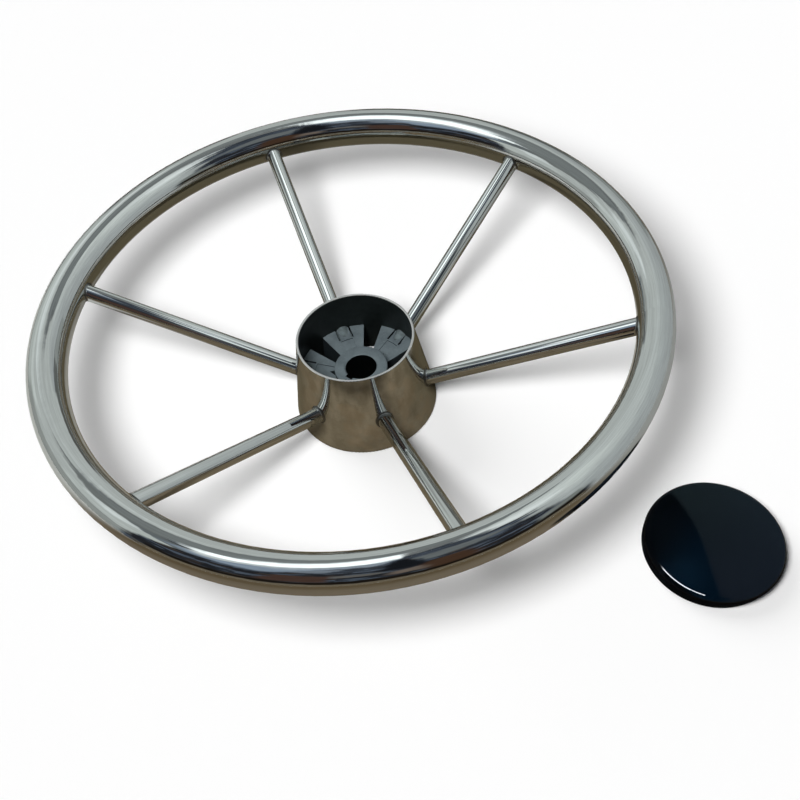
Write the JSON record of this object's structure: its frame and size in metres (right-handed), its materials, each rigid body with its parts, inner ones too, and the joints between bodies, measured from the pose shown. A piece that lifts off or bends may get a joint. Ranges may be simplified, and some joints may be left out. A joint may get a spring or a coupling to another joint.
{
  "type": "boat steering wheel",
  "caption": "Dished boat steering wheel: a round tube rim, sloping round spokes, a conical hub with a keyed shaft bore in a cast core, and a domed push-on cap lying beside it.",
  "frame": {"origin": "on the shaft's axis, in the plane of the hub's wide end, which is also the boss's back face", "axes": "+Z along the shaft's axis towards the front of the wheel, +X along the first spoke"},
  "size_m": [0.4178, 0.343, 0.083],
  "materials": {
    "polished_stainless": "mirror-polished stainless steel",
    "cast_core": "as cast, dull grey",
    "cap_plastic": "glossy black"
  },
  "bodies": {
    "root": {"rim_tube": "polished_stainless", "hub_shell": "polished_stainless", "hub_insert": "cast_core", "spoke_1": "polished_stainless", "spoke_2": "polished_stainless", "spoke_3": "polished_stainless", "spoke_4": "polished_stainless", "spoke_5": "polished_stainless", "spoke_6": "polished_stainless", "centre_cap": "cap_plastic"}
  },
  "joints": []
}
